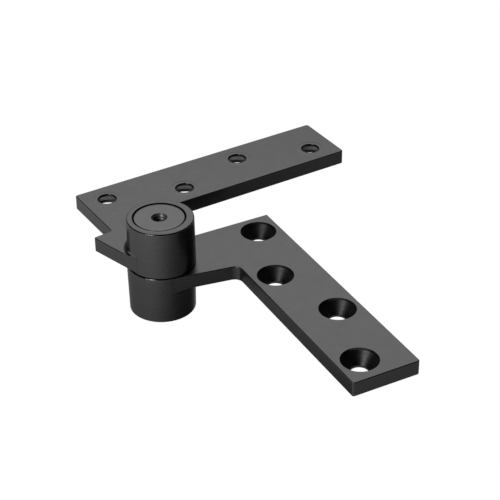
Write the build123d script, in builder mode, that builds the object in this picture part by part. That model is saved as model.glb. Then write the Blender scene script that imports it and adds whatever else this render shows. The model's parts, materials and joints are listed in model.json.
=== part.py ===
from build123d import *
import math
import os

os.makedirs("parts", exist_ok=True)

# Offset pivot hinge, in millimetres. The pivot axis is +Z through the origin and z = 0 is
# the top of the door leaf. Both leaves share one bar: x runs along the bar, y runs from
# the pivot axis towards it. The door leaf is the same bar turned about the pivot axis.
PLATE = 6.3
LEAF_GAP = 0.45
DOOR_ANGLE = -93.5

BAR_START = -10.9
BAR_NEAR = 25.55
BAR_WIDTH = 28.575
ARM_CORNER_X = 18.0
ARM_FILLET = 3.5
TAB_CORNER = (-19.4, 20.5)
TAB_ROOT_Y = 21.2
TAB_FILLET = 0.9
FAR_CORNER_ROUND = 1.1
NEAR_CORNER_ROUND = 0.9
EDGE_ROUND = 0.4

# Screw holes: four at one pitch, staggered across the bar.
HOLE_PITCH = 31.75
HOLE_FIRST = 10.15
HOLE_LAST = 11.1
HOLE_EDGE = 9.525
FRAME_HOLE_R = 3.8
DOOR_HOLE_R = 3.6
MOUTH_ROUND = 0.35
SINK_R = 7.4
SINK_RECESS = 1.0
SINK_ANGLE = 82

# Barrels. Each radius is at the joint between the leaves, and the draft is away from it. As cast, the
# upper barrel stands a little off the axis that it is bored on, so its rim is wider on one side.
UPPER_TOP = 20.7
UPPER_SHIFT_X = 0.32
UPPER_SHIFT_Y = -0.23
UPPER_R = 13.64
UPPER_DRAFT = 0.5
UPPER_TOP_ROUND = 0.6
UPPER_BASE_ROUND = 0.9
LOWER_BOTTOM = -20.5
LOWER_R = 13.75
LOWER_DRAFT = 0.95
LOWER_TOP_ROUND = 0.5
LOWER_BOTTOM_ROUND = 2.5
CAST_FILLET = 1.8
FILLET_BURY = 0.6

# Headed pin, dropped in from above, with a tapped hole to draw it out again.
PIN_R = 6.35
PIN_CHAMFER = 1.2
PIN_ROOM_FRAME = 0.04
PIN_ROOM_BUSH = 0.05
HEAD_R = 10.15
HEAD_THICK = 3.2
HEAD_SUNK = 0.25
HEAD_ROOM = 0.65
HEAD_ROUND = 0.3
PULL_CORE_R = 2.6
PULL_MOUTH_R = 3.2
PULL_MOUTH_ANGLE = 90
PULL_DEPTH = 13.0

# Flanged bush in the door leaf. Its flange stands proud by the gap and carries the frame leaf.
BUSH_WALL = 1.54
FLANGE_R = 10.5
FLANGE_THICK = 1.6
FLANGE_ROOM = 0.1
SOCKET_FLOOR = 2.9
PIN_ROOM_BELOW = 1.0
BUSH_ROOM_BELOW = 2.5

BAR_FAR = BAR_NEAR + BAR_WIDTH
ARM_CORNER = (ARM_CORNER_X, BAR_NEAR)
UPPER_CENTRE = (UPPER_SHIFT_X, UPPER_SHIFT_Y)
LOWER_CENTRE = (0, 0)
FRAME_TOP = LEAF_GAP + PLATE
HEAD_TOP = UPPER_TOP - HEAD_SUNK
HEAD_SEAT = HEAD_TOP - HEAD_THICK
BUSH_BORE_R = PIN_R + PIN_ROOM_BUSH
BUSH_R = BUSH_BORE_R + BUSH_WALL
FLANGE_SEAT = LEAF_GAP - FLANGE_THICK
SOCKET_BOTTOM = LOWER_BOTTOM + SOCKET_FLOOR
PIN_BOTTOM = SOCKET_BOTTOM + PIN_ROOM_BELOW
BUSH_BOTTOM = SOCKET_BOTTOM + BUSH_ROOM_BELOW
HOLE_XS = [BAR_START + HOLE_FIRST + n * HOLE_PITCH for n in range(4)]
HOLES = [(x, BAR_FAR - HOLE_EDGE) for x in HOLE_XS[::2]] + [(x, BAR_NEAR + HOLE_EDGE) for x in HOLE_XS[1::2]]
BAR_END = HOLE_XS[-1] + HOLE_LAST
UPPER_R_TOP = UPPER_R - (UPPER_TOP - LEAF_GAP) * math.tan(math.radians(UPPER_DRAFT))
UPPER_R_FOOT = UPPER_R - PLATE * math.tan(math.radians(UPPER_DRAFT))
LOWER_R_BOTTOM = LOWER_R + LOWER_BOTTOM * math.tan(math.radians(LOWER_DRAFT))
LOWER_R_ROOT = LOWER_R - PLATE * math.tan(math.radians(LOWER_DRAFT))

FRAME_PLANE = Plane.XY.offset(LEAF_GAP)
FRAME_UNDERSIDE = Plane(origin=(0, 0, LEAF_GAP), x_dir=(1, 0, 0), z_dir=(0, 0, -1))
DOOR_PLANE = Plane.XY.rotated((0, 0, DOOR_ANGLE))
UPPER_AXIS = Axis((UPPER_SHIFT_X, UPPER_SHIFT_Y, 0), (0, 0, 1))
UPPER_SECTION = Plane(origin=UPPER_AXIS.position, x_dir=(1, 0, 0), z_dir=(0, -1, 0))


def touch(point, centre, radius, side):
    """The point where a line from the given point touches a circle."""
    x, y = point[0] - centre[0], point[1] - centre[1]
    turn = math.atan2(y, x) + side * math.acos(radius / math.hypot(x, y))
    return centre[0] + radius * math.cos(turn), centre[1] + radius * math.sin(turn)


def rim_edges(leaf, centre):
    """The edges round a flat leaf's two faces, apart from those that end at its barrel's centre."""
    rims = leaf.faces().filter_by(Axis.Z).edges()
    return rims.filter_by(lambda edge: edge.distance_to((*centre, edge.center().Z)) > EDGE_ROUND)


def round_corners(outline, corners):
    """Round the named corners of an outline that is being drawn."""
    for corner, radius in corners:
        fillet(outline.vertices().sort_by_distance(Vector(*corner))[0], radius)


# Outline of the frame leaf: the bar, the tab at its end and the arm to the barrel.
with BuildSketch(FRAME_PLANE) as frame_outline:
    with BuildLine():
        Polyline(
            UPPER_CENTRE,
            touch(TAB_CORNER, UPPER_CENTRE, UPPER_R, 1),
            TAB_CORNER,
            (BAR_START, TAB_ROOT_Y),
            (BAR_START, BAR_FAR),
            (BAR_END, BAR_FAR),
            (BAR_END, BAR_NEAR),
            ARM_CORNER,
            touch(ARM_CORNER, UPPER_CENTRE, UPPER_R, -1),
            close=True,
        )
    make_face()
    round_corners(
        frame_outline,
        (
            (ARM_CORNER, ARM_FILLET),
            ((BAR_START, TAB_ROOT_Y), TAB_FILLET),
            (TAB_CORNER, NEAR_CORNER_ROUND),
            ((BAR_START, BAR_FAR), NEAR_CORNER_ROUND),
            ((BAR_END, BAR_FAR), FAR_CORNER_ROUND),
            ((BAR_END, BAR_NEAR), FAR_CORNER_ROUND),
        ),
    )

# Cast fillet round the foot of the upper barrel, only where the leaf lies under it.
with BuildPart() as frame_fillet:
    with BuildSketch(UPPER_SECTION):
        with BuildLine():
            arc = CenterArc(
                (UPPER_R_FOOT + CAST_FILLET, FRAME_TOP + CAST_FILLET), CAST_FILLET, 180, 90
            )
            Polyline(
                arc @ 1,
                (UPPER_R_FOOT + CAST_FILLET, FRAME_TOP - FILLET_BURY),
                (UPPER_R_FOOT - FILLET_BURY, FRAME_TOP - FILLET_BURY),
                (UPPER_R_FOOT - FILLET_BURY, FRAME_TOP + CAST_FILLET),
                arc @ 0,
            )
        make_face()
    revolve(axis=UPPER_AXIS)
    extrude(frame_outline.sketch, amount=PLATE + CAST_FILLET, mode=Mode.INTERSECT)

# Frame leaf: one casting of the bar, the tab, the arm and the upper barrel.
with BuildPart() as frame_leaf:
    extrude(frame_outline.sketch, amount=PLATE)
    fillet(rim_edges(frame_leaf, UPPER_CENTRE), EDGE_ROUND)
    with BuildSketch(UPPER_SECTION):
        with BuildLine():
            Polyline(
                (0, LEAF_GAP),
                (UPPER_R, LEAF_GAP),
                (UPPER_R_TOP, UPPER_TOP),
                (0, UPPER_TOP),
                close=True,
            )
        section = make_face()
        rim_points = section.vertices().filter_by(lambda v: v.X > UPPER_R_TOP / 2)
        fillet(rim_points.sort_by(Axis.Y)[-1], UPPER_TOP_ROUND)
        fillet(rim_points.sort_by(Axis.Y)[0], UPPER_BASE_ROUND)
    revolve(axis=UPPER_AXIS)
    add(frame_fillet.part)
    with Locations((0, 0, UPPER_TOP)):
        CounterBoreHole(
            radius=PIN_R + PIN_ROOM_FRAME,
            counter_bore_radius=HEAD_R + HEAD_ROOM,
            counter_bore_depth=UPPER_TOP - HEAD_SEAT,
        )
    with Locations(FRAME_UNDERSIDE.location):
        with Locations(*[(x, -y) for x, y in HOLES]):
            Hole(radius=SINK_R, depth=SINK_RECESS)
    with Locations(FRAME_UNDERSIDE.offset(-SINK_RECESS).location):
        with Locations(*[(x, -y) for x, y in HOLES]):
            CounterSinkHole(
                radius=FRAME_HOLE_R, counter_sink_radius=SINK_R, counter_sink_angle=SINK_ANGLE
            )
    tops = frame_leaf.faces().filter_by(lambda face: abs(face.center().Z - FRAME_TOP) < MOUTH_ROUND)
    mouths = tops.filter_by(Axis.Z).sort_by(SortBy.AREA)[-1].inner_wires()
    fillet(mouths.edges(), MOUTH_ROUND)

# Outline of the door leaf: the same bar and arm, with the arm's outer edge in line with
# the end of the bar and no tab.
with BuildSketch(DOOR_PLANE.offset(-PLATE)) as door_outline:
    with BuildLine():
        Polyline(
            LOWER_CENTRE,
            (BAR_START, LOWER_CENTRE[1]),
            (BAR_START, BAR_FAR),
            (BAR_END, BAR_FAR),
            (BAR_END, BAR_NEAR),
            ARM_CORNER,
            touch(ARM_CORNER, LOWER_CENTRE, LOWER_R, -1),
            close=True,
        )
    make_face()
    round_corners(
        door_outline,
        (
            (ARM_CORNER, ARM_FILLET),
            ((BAR_START, BAR_FAR), EDGE_ROUND),
            ((BAR_END, BAR_FAR), NEAR_CORNER_ROUND),
            ((BAR_END, BAR_NEAR), NEAR_CORNER_ROUND),
        ),
    )

# Cast fillet round the root of the lower barrel, only where the leaf lies over it.
with BuildPart() as door_fillet:
    with BuildSketch(Plane.XZ):
        with BuildLine():
            arc = CenterArc(
                (LOWER_R_ROOT + CAST_FILLET, -PLATE - CAST_FILLET), CAST_FILLET, 90, 90
            )
            Polyline(
                arc @ 1,
                (LOWER_R_ROOT - FILLET_BURY, -PLATE - CAST_FILLET),
                (LOWER_R_ROOT - FILLET_BURY, -PLATE + FILLET_BURY),
                (LOWER_R_ROOT + CAST_FILLET, -PLATE + FILLET_BURY),
                arc @ 0,
            )
        make_face()
    revolve(axis=Axis.Z)
    extrude(door_outline.sketch, amount=CAST_FILLET + FILLET_BURY, both=True, mode=Mode.INTERSECT)

# Door leaf: one casting of the bar, the arm and the lower barrel, closed at the bottom.
with BuildPart() as door_leaf:
    extrude(door_outline.sketch, amount=PLATE)
    fillet(rim_edges(door_leaf, LOWER_CENTRE), EDGE_ROUND)
    with BuildSketch(Plane.XZ):
        with BuildLine():
            Polyline(
                (0, LOWER_BOTTOM),
                (LOWER_R_BOTTOM, LOWER_BOTTOM),
                (LOWER_R, 0),
                (0, 0),
                close=True,
            )
        section = make_face()
        rim_points = section.vertices().filter_by(lambda v: v.X > LOWER_R_BOTTOM / 2)
        fillet(rim_points.sort_by(Axis.Y)[-1], LOWER_TOP_ROUND)
        fillet(rim_points.sort_by(Axis.Y)[0], LOWER_BOTTOM_ROUND)
    revolve(axis=Axis.Z)
    add(door_fillet.part)
    with Locations((0, 0, 0)):
        CounterBoreHole(
            radius=BUSH_R,
            counter_bore_radius=FLANGE_R + FLANGE_ROOM,
            counter_bore_depth=-FLANGE_SEAT,
            depth=-SOCKET_BOTTOM,
        )
    with Locations(DOOR_PLANE.location):
        with Locations(*HOLES):
            Hole(radius=SINK_R, depth=SINK_RECESS)
    with Locations(DOOR_PLANE.offset(-SINK_RECESS).location):
        with Locations(*HOLES):
            CounterSinkHole(
                radius=DOOR_HOLE_R, counter_sink_radius=SINK_R, counter_sink_angle=SINK_ANGLE
            )

# Flanged bush, pressed into the lower barrel.
with BuildPart() as door_bush:
    with BuildSketch(Plane.XZ):
        with BuildLine():
            Polyline(
                (BUSH_BORE_R, BUSH_BOTTOM),
                (BUSH_R, BUSH_BOTTOM),
                (BUSH_R, FLANGE_SEAT),
                (FLANGE_R, FLANGE_SEAT),
                (FLANGE_R, LEAF_GAP),
                (BUSH_BORE_R, LEAF_GAP),
                close=True,
            )
        make_face()
    revolve(axis=Axis.Z)

# Headed pin, resting by its head in the upper barrel and turning in the bush.
with BuildPart() as pivot_pin:
    with BuildSketch(Plane.XZ):
        with BuildLine():
            Polyline(
                (0, PIN_BOTTOM),
                (PIN_R - PIN_CHAMFER, PIN_BOTTOM),
                (PIN_R, PIN_BOTTOM + PIN_CHAMFER),
                (PIN_R, HEAD_SEAT),
                (HEAD_R, HEAD_SEAT),
                (HEAD_R, HEAD_TOP),
                (0, HEAD_TOP),
                close=True,
            )
        make_face()
    revolve(axis=Axis.Z)
    fillet(pivot_pin.faces().sort_by(Axis.Z)[-1].edges(), HEAD_ROUND)
    with Locations((0, 0, HEAD_TOP)):
        CounterSinkHole(
            radius=PULL_CORE_R,
            counter_sink_radius=PULL_MOUTH_R,
            depth=PULL_DEPTH,
            counter_sink_angle=PULL_MOUTH_ANGLE,
        )

frame_leaf.part.label = "frame_leaf"
door_leaf.part.label = "door_leaf"
door_bush.part.label = "door_bush"
pivot_pin.part.label = "pivot_pin"

export_step(frame_leaf.part, "parts/frame_leaf.step")
export_step(door_leaf.part, "parts/door_leaf.step")
export_step(door_bush.part, "parts/door_bush.step")
export_step(pivot_pin.part, "parts/pivot_pin.step")
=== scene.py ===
"""Offset pivot hinge in a satin black powder coat. Lengths are in metres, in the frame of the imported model.

The two leaves are single castings. The frame leaf carries the upper barrel, the door leaf the lower one,
and a headed pin with a threaded pull hole joins them. A flanged bush in the lower barrel carries the upper one.
"""

import json
import math

import bmesh
import bpy
import numpy as np
from mathutils import Matrix, Vector


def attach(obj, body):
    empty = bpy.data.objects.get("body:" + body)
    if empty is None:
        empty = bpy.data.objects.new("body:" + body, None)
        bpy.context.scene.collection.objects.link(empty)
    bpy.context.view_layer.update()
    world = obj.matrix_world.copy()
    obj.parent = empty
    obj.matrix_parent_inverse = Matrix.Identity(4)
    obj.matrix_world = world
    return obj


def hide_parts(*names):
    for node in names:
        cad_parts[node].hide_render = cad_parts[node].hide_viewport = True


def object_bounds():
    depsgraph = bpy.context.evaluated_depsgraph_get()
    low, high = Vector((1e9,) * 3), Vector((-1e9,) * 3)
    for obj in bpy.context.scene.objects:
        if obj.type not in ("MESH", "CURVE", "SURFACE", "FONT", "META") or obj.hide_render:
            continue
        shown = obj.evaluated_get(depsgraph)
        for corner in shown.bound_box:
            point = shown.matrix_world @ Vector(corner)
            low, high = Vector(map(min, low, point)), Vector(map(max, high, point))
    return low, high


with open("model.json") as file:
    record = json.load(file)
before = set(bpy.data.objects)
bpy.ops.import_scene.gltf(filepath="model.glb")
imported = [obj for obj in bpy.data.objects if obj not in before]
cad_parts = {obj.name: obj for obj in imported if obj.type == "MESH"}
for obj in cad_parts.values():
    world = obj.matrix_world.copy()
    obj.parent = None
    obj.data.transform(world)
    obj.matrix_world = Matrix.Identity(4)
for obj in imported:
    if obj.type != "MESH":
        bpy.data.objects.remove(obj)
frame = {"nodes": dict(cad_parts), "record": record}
cad_box = [list(corner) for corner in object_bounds()]
mounts = {mount["name"]: mount for mount in frame["record"]["mounts"]}

# Camera: where it stands, where it looks and how far it is rolled, fitted to the photograph.
CAMERA_PLACE = Vector((-0.24842, -0.47611, 0.34919))
CAMERA_AZIMUTH = math.radians(31.3515)
CAMERA_TILT = math.radians(32.7319)
CAMERA_ROLL = math.radians(0.6117)
SENSOR = 36.0
LENS = 115.17

# Powder coat: colour as linear light, roughness, and the grain's scales (per metre) and heights.
COAT_COLOUR = (0.0015, 0.0015, 0.0015, 1.0)
COAT_IOR = 1.6
PIN_COLOUR = (0.0016, 0.0016, 0.0016, 1.0)
PIN_IOR = 1.68
COAT_ROUGHNESS = 0.29
MOTTLE_SCALE = 170.0
MOTTLE_SHINE = 0.02
PEEL_SCALE = 1000.0
PEEL_HEIGHT = 0.000060
GRAIN_SCALE = 3600.0
GRAIN_HEIGHT = 0.000020
RELIEF_ON_TOPS = 0.4
EDGE_SMOOTHER = 0.13

# Screw holes: the door leaf's sinks are rougher, and each hole of the frame leaf has a soft raised lip of coat.
DOOR_TURN = math.radians(-93.5)
SINK_RADIUS = 0.00735
SINK_ROUGHER = 0.20
LIP_RADIUS = 0.0049
LIP_WIDTH = 0.0006
LIP_HEIGHT = 0.00012

# Bare steel in the pull hole, next to the coat round it.
STEEL_TONE = 0.20
STEEL_ROUGHER = 0.30

# Bronze of the bush.
BRONZE_COLOUR = (0.50, 0.33, 0.16, 1.0)
BRONZE_ROUGHNESS = 0.38
BRONZE_GRAIN_SCALE = 2600.0
BRONZE_GRAIN_HEIGHT = 0.00003

# Castings: vertices this close are one, and faces that meet at less than CREASE are shaded as one.
MERGE = 0.000002
CREASE = math.radians(40.0)

# Pivot pin: shank, head, and the pull hole with its thread.
PIN_STEPS = 120
SHANK_RADIUS = 0.00635
SHANK_CHAMFER = 0.0012
PIN_FOOT = -0.0166
FOOT_CENTRE = 0.0008
HEAD_RADIUS = 0.01015
HEAD_SEAT = 0.01725
HEAD_TOP = 0.02045
HEAD_ROUND = 0.0003
BORE_ROWS = 170
BORE_CORE = 0.0026
BORE_ROOT = 0.0030
BORE_MOUTH = 0.0032
BORE_FLOOR = 0.00745
BORE_TIP = 0.0060
MOUTH_EDGE = 0.00005
MOUTH_DEPTH = 0.0006
THREAD_PITCH = 0.00127
THREAD_END = 0.0008

# Lamps, which all face the pivot: direction, distance, side of the square, radiance.
LAMPS = {
    "back_softbox": ((0.365, 0.520, 0.772), 1.4, 1.2, 1.0),
    "key_left": ((-0.584, -0.268, 0.766), 1.0, 0.42, 1.0),
    "edge_left": ((-0.823, -0.378, 0.423), 1.0, 0.34, 14.0),
}

# Surround: how the white set looks to reflections, which see the room in front and on the right as dark.
BACK_SIDE = Vector((0.349, 0.616, 0.706))
BACK_NARROWS = 14.0
SCATTERED = 0.52

# Floor: where it lies, how white it is, and what reflections see of it: painted light on the left and behind the
# frame leaf, and painted shade under and in front of the object.
FLOOR_HALF = 3.0
FLOOR_DROP = 0.06
FLOOR_PAPER = (0.05, 0.05, 0.05, 1.0)
FLOOR_GLOW = 0.965
WHITE = (1.0, 1.0, 1.0, 1.0)
# Directions of the painted light on the left, and the centres of the painted shadow in front of the object and of
# the painted light behind the frame leaf.
FRONT_LEFT = Vector((-0.832, -0.554, 0.0))
FAR_LEFT = Vector((-0.931, 0.364, 0.0))
PAINTED_SHADOW_PLACE = (-0.014, -0.034)
PAINTED_LIGHT_PLACE = (0.060, 0.085)


class Nodes:
    """A short way to add shader nodes and link them."""

    def __init__(self, tree):
        self.tree = tree
        tree.nodes.clear()

    def add(self, kind, settings=None, **inputs):
        """A new node. Inputs go by their names, with _ for a space, or by their numbers: i0, i1."""
        node = self.tree.nodes.new(kind)
        for name, value in (settings or {}).items():
            setattr(node, name, value)
        for name, value in inputs.items():
            key = int(name[1:]) if name[0] == "i" and name[1:].isdigit() else name.replace("_", " ")
            socket = node.inputs[key]
            if isinstance(value, bpy.types.NodeSocket):
                self.tree.links.new(value, socket)
            else:
                socket.default_value = value
        return node

    def math(self, operation, first, second=0.0):
        return self.add("ShaderNodeMath", {"operation": operation}, i0=first, i1=second).outputs[0]

    def vector(self, operation, first, second=(0.0, 0.0, 0.0), output=0):
        return self.add("ShaderNodeVectorMath", {"operation": operation}, i0=first, i1=second).outputs[output]

    def noise(self, place, scale, detail, roughness):
        return self.add("ShaderNodeTexNoise", Vector=place, Scale=scale, Detail=detail,
                        Roughness=roughness).outputs["Fac"]

    def fade(self, value, start, end, first=0.0, last=1.0, curve="SMOOTHSTEP"):
        """From first to last as the value goes from start to end."""
        return self.add("ShaderNodeMapRange", {"interpolation_type": curve}, Value=value, From_Min=start,
                        From_Max=end, To_Min=first, To_Max=last).outputs["Result"]

    def from_axis(self, place, axis=(0.0, 0.0)):
        """Distance in plan from an upright line through the point (x, y)."""
        return self.vector("DISTANCE", self.vector("MULTIPLY", place, (1.0, 1.0, 0.0)), (*axis, 0.0), output=1)


def new_material(name):
    material = bpy.data.materials.new(name)
    material.use_nodes = True
    return material, Nodes(material.node_tree)


def powder_coat(name, colour, ior, sinks=(), lips=(), bare_bore=0.0):
    """Satin powder coat: fine grain on a soft orange peel, a slow mottle in the shine, smoother where it is drawn
    thin over the rounds, rougher in the countersinks, and with a lip round each hole. A bore of radius bare_bore
    on the z axis was tapped after coating, so its thread is bare steel.

    A lip is a ring of height LIP_HEIGHT * exp(-((d - LIP_RADIUS) / LIP_WIDTH)^2), d being the distance from the
    hole's axis.
    """
    material, nodes = new_material(name)
    place = nodes.add("ShaderNodeTexCoord").outputs["Object"]
    peel = nodes.noise(place, PEEL_SCALE, 1.5, 0.5)
    grain = nodes.noise(place, GRAIN_SCALE, 1.0, 0.6)
    mottle = nodes.noise(place, MOTTLE_SCALE, 3.0, 0.6)
    height = nodes.math("ADD", nodes.math("MULTIPLY", peel, PEEL_HEIGHT),
                        nodes.math("MULTIPLY", grain, GRAIN_HEIGHT))
    for hole in lips:
        step = nodes.math("DIVIDE", nodes.math("SUBTRACT", nodes.from_axis(place, hole), LIP_RADIUS), LIP_WIDTH)
        ring = nodes.math("EXPONENT", nodes.math("MULTIPLY", nodes.math("MULTIPLY", step, step), -1.0))
        height = nodes.math("ADD", height, nodes.math("MULTIPLY", ring, LIP_HEIGHT))
    shine = nodes.fade(mottle, 0.3, 0.7, COAT_ROUGHNESS - MOTTLE_SHINE, COAT_ROUGHNESS + MOTTLE_SHINE, "LINEAR")
    normal = nodes.add("ShaderNodeTexCoord").outputs["Normal"]
    upright = nodes.math("ABSOLUTE", nodes.add("ShaderNodeSeparateXYZ", Vector=normal).outputs[2])
    relief = nodes.fade(upright, 0.3, 0.9, 1.0, RELIEF_ON_TOPS, "LINEAR")
    slope = nodes.math("MULTIPLY", nodes.fade(upright, 0.1, 0.4), nodes.fade(upright, 0.8, 0.99, 1.0, 0.0))
    shine = nodes.math("SUBTRACT", shine, nodes.math("MULTIPLY", slope, EDGE_SMOOTHER))
    for hole in sinks:
        inside = nodes.math("MULTIPLY", slope, nodes.math("LESS_THAN", nodes.from_axis(place, hole), SINK_RADIUS))
        shine = nodes.math("ADD", shine, nodes.math("MULTIPLY", inside, SINK_ROUGHER))
    tone, bare = colour, 0.0
    if bare_bore:
        bare = nodes.math("LESS_THAN", nodes.from_axis(place), bare_bore)
        tone = nodes.math("ADD", nodes.math("MULTIPLY", bare, STEEL_TONE), colour[0])
        shine = nodes.math("ADD", shine, nodes.math("MULTIPLY", bare, STEEL_ROUGHER))
    bump = nodes.add("ShaderNodeBump", Strength=relief, Distance=1.0, Height=height)
    coat = nodes.add("ShaderNodeBsdfPrincipled", Base_Color=tone, Metallic=bare, Roughness=shine, IOR=ior,
                     Normal=bump.outputs["Normal"])
    nodes.add("ShaderNodeOutputMaterial", Surface=coat.outputs["BSDF"])
    return material


def bush_bronze():
    """Oil-impregnated bronze with a fine sintered grain."""
    material, nodes = new_material("bush_bronze")
    place = nodes.add("ShaderNodeTexCoord").outputs["Object"]
    grain = nodes.noise(place, BRONZE_GRAIN_SCALE, 2.0, 0.6)
    bump = nodes.add("ShaderNodeBump", Strength=0.2, Distance=BRONZE_GRAIN_HEIGHT, Height=grain)
    bronze = nodes.add("ShaderNodeBsdfPrincipled", Base_Color=BRONZE_COLOUR, Metallic=1.0,
                       Roughness=BRONZE_ROUGHNESS, Normal=bump.outputs["Normal"])
    nodes.add("ShaderNodeOutputMaterial", Surface=bronze.outputs["BSDF"])
    return material


def link_piece(name, mesh, material, body, node):
    """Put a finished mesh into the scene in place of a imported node."""
    mesh.materials.clear()
    mesh.materials.append(material)
    piece = bpy.data.objects.new(name, mesh)
    bpy.context.scene.collection.objects.link(piece)
    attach(piece, body)
    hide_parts(node)


def shade(mesh):
    """Smooth shading that keeps flat faces flat.

    The normal at a triangle's corner is the sum of the normals of the triangles round that vertex that lean less
    than CREASE from it, each times the area of the whole flat face that its triangle belongs to.
    """
    count = len(mesh.polygons)
    corners = np.empty(count * 3, dtype=np.int64)
    mesh.polygons.foreach_get("vertices", corners)
    points = np.empty(len(mesh.vertices) * 3)
    mesh.vertices.foreach_get("co", points)
    a, b, c = (points.reshape(-1, 3)[corners.reshape(-1, 3)[:, k]] for k in range(3))
    cross = np.cross(b - a, c - a)
    area = np.linalg.norm(cross, axis=1)
    normal = cross / np.maximum(area, 1e-15)[:, None]
    # Triangles of one flat face share a direction, to 1/400, and a distance from the origin, to 1/30 mm.
    plane = np.round(np.column_stack([normal * 400.0, np.sum(normal * a, axis=1) * 30000.0])).astype(np.int64)
    _, face = np.unique(plane, axis=0, return_inverse=True)
    weight = np.bincount(face.ravel(), weights=area)[face.ravel()]
    # Every corner is paired with every corner at the same vertex.
    order = np.argsort(corners, kind="stable")
    vertex, triangle = corners[order], order // 3
    start = np.searchsorted(vertex, vertex, side="left")
    size = np.searchsorted(vertex, vertex, side="right") - start
    mine = np.repeat(np.arange(vertex.size), size)
    other = np.arange(mine.size) - np.repeat(np.cumsum(size) - size, size) + np.repeat(start, size)
    near = np.sum(normal[triangle[mine]] * normal[triangle[other]], axis=1) > math.cos(CREASE)
    share = normal[triangle[other]] * (weight[triangle[other]] * near)[:, None]
    total = np.column_stack([np.bincount(mine, weights=share[:, k], minlength=vertex.size) for k in range(3)])
    result = np.empty_like(total)
    result[order] = total / np.maximum(np.linalg.norm(total, axis=1), 1e-15)[:, None]
    mesh.polygons.foreach_set("use_smooth", np.ones(count, dtype=bool))
    mesh.normals_split_custom_set(result.tolist())


def casting(name, node, material, body):
    """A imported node's own surface: doubles merged, then shaded smooth over the rounds and flat on the faces."""
    mesh = frame["nodes"][node].data.copy()
    mesh.name = name
    surface = bmesh.new()
    surface.from_mesh(mesh)
    bmesh.ops.remove_doubles(surface, verts=surface.verts, dist=MERGE)
    surface.to_mesh(mesh)
    surface.free()
    shade(mesh)
    link_piece(name, mesh, material, body, node)


def turned(name, radii, heights, steps):
    """Surface of revolution: row i, column j is at (r cos t, r sin t, z), with r and z from row i and
    t = 2 pi j / steps.

    radii and heights are whole grids, so a thread's radius may change with the turn. Both ends are closed by a fan
    round a point on the axis.
    """
    rows = radii.shape[0]
    turn = np.linspace(0.0, 2.0 * np.pi, steps, endpoint=False)[None, :]
    points = np.stack([radii * np.cos(turn), radii * np.sin(turn), heights], axis=-1).reshape(-1, 3)
    first, last = (0.0, 0.0, heights[0, 0]), (0.0, 0.0, heights[-1, 0])
    points = np.vstack([points, first, last])
    row, column = np.meshgrid(np.arange(rows - 1), np.arange(steps), indexing="ij")
    here, after = row * steps + column, row * steps + (column + 1) % steps
    quads = np.stack([here, after, after + steps, here + steps], axis=-1).reshape(-1, 4)
    ring = np.arange(steps)
    next_ring = (ring + 1) % steps
    end = (rows - 1) * steps
    foot = np.stack([np.full(steps, rows * steps), next_ring, ring], axis=-1)
    tip = np.stack([np.full(steps, rows * steps + 1), end + ring, end + next_ring], axis=-1)
    mesh = bpy.data.meshes.new(name)
    mesh.from_pydata(points.tolist(), [], quads.tolist() + foot.tolist() + tip.tolist())
    mesh.polygons.foreach_set("use_smooth", np.ones(len(mesh.polygons), dtype=bool))
    mesh.set_sharp_from_angle(angle=math.radians(35.0))
    return mesh


def pin_mesh():
    """The pin's profile from foot to head, over the head's round, and down the pull hole.

    The thread is a rounded V: r = root - (root - core) * (0.5 + 0.5 cos(2 pi (z / pitch - t / 2 pi)))^1.5, faded
    into the mouth's chamfer and the hole's end.
    """
    every = np.ones((1, PIN_STEPS))
    turn = np.linspace(0.0, 2.0 * np.pi, PIN_STEPS, endpoint=False)[None, :]
    arc = np.linspace(0.0, np.pi / 2.0, 6)
    rim_r = HEAD_RADIUS - HEAD_ROUND * (1.0 - np.cos(arc))
    rim_z = HEAD_TOP - HEAD_ROUND * (1.0 - np.sin(arc))
    under_r = HEAD_RADIUS - HEAD_ROUND * (1.0 - np.sin(arc))
    under_z = HEAD_SEAT + HEAD_ROUND * (1.0 - np.cos(arc))
    disc = np.linspace(HEAD_RADIUS - HEAD_ROUND, BORE_MOUTH + MOUTH_EDGE, 10)[1:]
    shank_z = np.linspace(PIN_FOOT + SHANK_CHAMFER, HEAD_SEAT, 10)[:-1]
    outer_r = np.concatenate([np.linspace(FOOT_CENTRE, SHANK_RADIUS - SHANK_CHAMFER, 5),
                              np.full(shank_z.size, SHANK_RADIUS), [SHANK_RADIUS + 0.001], under_r, rim_r, disc])
    outer_z = np.concatenate([np.full(5, PIN_FOOT), shank_z, [HEAD_SEAT], under_z, rim_z,
                              np.full(disc.size, HEAD_TOP)])
    down = np.linspace(HEAD_TOP - MOUTH_EDGE, BORE_FLOOR, BORE_ROWS)[:, None]
    wave = (0.5 + 0.5 * np.cos(2.0 * np.pi * down / THREAD_PITCH - turn)) ** 1.5
    thread = BORE_ROOT - (BORE_ROOT - BORE_CORE) * wave
    thread = BORE_CORE + (thread - BORE_CORE) * np.clip((down - BORE_FLOOR) / THREAD_END, 0.0, 1.0)
    mouth = np.clip((down - (HEAD_TOP - MOUTH_DEPTH)) / (MOUTH_DEPTH - MOUTH_EDGE), 0.0, 1.0)
    thread = np.maximum(thread, BORE_CORE + (BORE_MOUTH - BORE_CORE) * mouth)
    cone = np.linspace(1.0, 0.12, 6)[1:, None]
    cone_z = BORE_TIP + (BORE_FLOOR - BORE_TIP) * cone
    radii = np.vstack([outer_r[:, None] * every, thread, BORE_CORE * cone * every])
    heights = np.vstack([outer_z[:, None] * every, down * every, cone_z * every])
    return turned("pivot_pin_threaded", radii, heights, PIN_STEPS)


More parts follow.
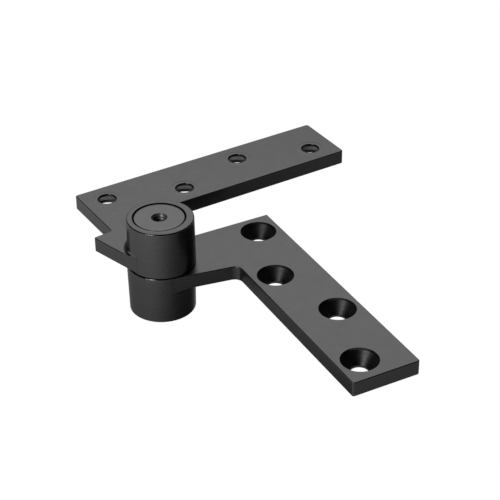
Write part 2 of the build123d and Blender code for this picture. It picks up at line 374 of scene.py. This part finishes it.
def set_camera():
    """The fitted camera: right, up and back axes from azimuth, tilt and roll."""
    a, e, r = CAMERA_AZIMUTH, CAMERA_TILT, CAMERA_ROLL
    forward = Vector((math.sin(a) * math.cos(e), math.cos(a) * math.cos(e), -math.sin(e)))
    level = Vector((math.cos(a), -math.sin(a), 0.0))
    down = forward.cross(level)
    right = math.cos(r) * level + math.sin(r) * down
    below = -math.sin(r) * level + math.cos(r) * down
    camera = bpy.data.objects.new("camera", bpy.data.cameras.new("camera"))
    bpy.context.scene.collection.objects.link(camera)
    camera.data.sensor_fit = "HORIZONTAL"
    camera.data.sensor_width = SENSOR
    camera.data.lens = LENS
    camera.data.clip_start = 0.01
    camera.data.clip_end = 20.0
    camera.matrix_world = Matrix((
        (right.x, -below.x, -forward.x, CAMERA_PLACE.x),
        (right.y, -below.y, -forward.y, CAMERA_PLACE.y),
        (right.z, -below.z, -forward.z, CAMERA_PLACE.z),
        (0.0, 0.0, 0.0, 1.0),
    ))
    bpy.context.scene.camera = camera


def lamp(name, direction, distance, size, radiance):
    """A square soft light that faces the pivot: power = radiance * pi * size^2."""
    light = bpy.data.lights.new(name, "AREA")
    light.shape = "SQUARE"
    light.size = size
    light.energy = radiance * math.pi * size * size
    stand = bpy.data.objects.new(name, light)
    bpy.context.scene.collection.objects.link(stand)
    place = Vector(direction).normalized() * distance
    stand.location = place
    stand.rotation_euler = (-place).to_track_quat("-Z", "Y").to_euler()


def white_set(nodes, reflected):
    """White to the camera; reflections see it at the given strength. Returns that and the light path's node."""
    path = nodes.add("ShaderNodeLightPath")
    mirrored = nodes.math("MAXIMUM", path.outputs["Is Glossy Ray"], path.outputs["Is Transmission Ray"])
    seen = nodes.math("MULTIPLY", mirrored, reflected)
    return nodes.math("MAXIMUM", path.outputs["Is Camera Ray"], seen), path


def towards(nodes, direction, side, power):
    """Fades with the angle between a direction and a side: (0.5 + 0.5 d.side / |d|)^power."""
    facing = nodes.vector("DOT_PRODUCT", nodes.vector("NORMALIZE", direction), side, output=1)
    return nodes.math("POWER", nodes.math("ADD", nodes.math("MULTIPLY", facing, 0.5), 0.5), power)


def set_studio():
    """A wide soft light behind, a weak key and an edge light on the left, and a white surround, brightest behind."""
    for name, values in LAMPS.items():
        lamp(name, *values)
    world = bpy.data.worlds.new("studio")
    bpy.context.scene.world = world
    world.use_nodes = True
    nodes = Nodes(world.node_tree)
    direction = nodes.add("ShaderNodeTexCoord").outputs["Generated"]
    white, path = white_set(nodes, towards(nodes, direction, BACK_SIDE, BACK_NARROWS))
    scattered = nodes.math("MULTIPLY", path.outputs["Is Diffuse Ray"], SCATTERED)
    nodes.add("ShaderNodeOutputWorld",
              Surface=nodes.add("ShaderNodeBackground", Color=WHITE,
                                Strength=nodes.math("MAXIMUM", white, scattered)).outputs[0])


def lay_floor():
    """White paper under the lower barrel, lit from the left: it glows white and keeps a soft shadow. Clear from
    below.

    Reflections see its glow painted with light and shade: painted light on the left that fades towards the right,
    painted shade close under the object with a painted shadow in front of it, and painted light again behind the
    frame leaf.
    """
    drop = cad_box[0][2] - FLOOR_DROP
    corners = [(x * FLOOR_HALF, y * FLOOR_HALF, drop) for x, y in ((-1, -1), (1, -1), (1, 1), (-1, 1))]
    mesh = bpy.data.meshes.new("floor")
    mesh.from_pydata(corners, [], [(0, 1, 2, 3)])
    floor = bpy.data.objects.new("floor", mesh)
    bpy.context.scene.collection.objects.link(floor)
    material, nodes = new_material("floor_paper")
    under = nodes.add("ShaderNodeNewGeometry").outputs["Backfacing"]
    place = nodes.add("ShaderNodeTexCoord").outputs["Object"]
    # Painted shade and light in the glow that only reflections see: darker close under the object, a painted shadow
    # patch in front of it, painted light behind the frame leaf, and painted light on the left that fades to the
    # right.
    away_from_painted_shade = nodes.fade(nodes.from_axis(place), 0.08, 0.30)
    outside_painted_shadow = nodes.fade(nodes.from_axis(place, PAINTED_SHADOW_PLACE), 0.01, 0.055, 0.05, 1.0)
    behind = nodes.fade(nodes.from_axis(place, PAINTED_LIGHT_PLACE), 0.045, 0.09, 0.35, 0.0)
    left = nodes.math("ADD", nodes.math("MULTIPLY", towards(nodes, place, FRONT_LEFT, 5.0), 0.9),
                      nodes.math("MULTIPLY", towards(nodes, place, FAR_LEFT, 3.0), 0.4))
    painted_lit_side = nodes.math("MULTIPLY", left, outside_painted_shadow)
    far = nodes.math("MULTIPLY", away_from_painted_shade, nodes.math("ADD", nodes.math("MULTIPLY", painted_lit_side, 0.3), 0.45))
    white, _ = white_set(nodes, nodes.math("ADD", nodes.math("ADD", painted_lit_side, far), behind))
    paper = nodes.add("ShaderNodeBsdfDiffuse", Color=FLOOR_PAPER).outputs[0]
    glow = nodes.add("ShaderNodeEmission", Color=WHITE,
                     Strength=nodes.math("MULTIPLY", white, FLOOR_GLOW)).outputs[0]
    sheet = nodes.add("ShaderNodeAddShader", i0=paper, i1=glow).outputs[0]
    clear = nodes.add("ShaderNodeBsdfTransparent").outputs[0]
    nodes.add("ShaderNodeOutputMaterial",
              Surface=nodes.add("ShaderNodeMixShader", i0=under, i1=sheet, i2=clear).outputs[0])
    mesh.materials.append(material)


def row_places(leaf, spacing, turn):
    """Hole centres of a leaf from its two screw rows in the record: each row's middle plus and minus half its
    pitch, along the bar, which lies at the angle turn to x."""
    places = []
    for row in ("far", "near"):
        mount = mounts[f"{leaf}_screws_{row}"]
        half = mount["dims"][spacing] / 2000.0
        x, y = mount["pos_m"][:2]
        places += [(x + side * half * math.cos(turn), y + side * half * math.sin(turn)) for side in (-1.0, 1.0)]
    return places


set_camera()
door_coat = powder_coat("coated_door_leaf", COAT_COLOUR, COAT_IOR, sinks=row_places("door", "pcd_mm", DOOR_TURN))
frame_coat = powder_coat("coated_frame_leaf", COAT_COLOUR, COAT_IOR, lips=row_places("frame", "spacing_x_mm", 0.0))
pin_coat = powder_coat("coated_pin", PIN_COLOUR, PIN_IOR, bare_bore=BORE_MOUTH)
casting("frame_leaf_cast", "frame_leaf", frame_coat, "frame")
casting("door_leaf_cast", "door_leaf", door_coat, "door")
casting("door_bush_turned", "door_bush", bush_bronze(), "door")
link_piece("pivot_pin_turned", pin_mesh(), pin_coat, "pin", "pivot_pin")
set_studio()
lay_floor()
bpy.context.scene.view_settings.view_transform = "Standard"
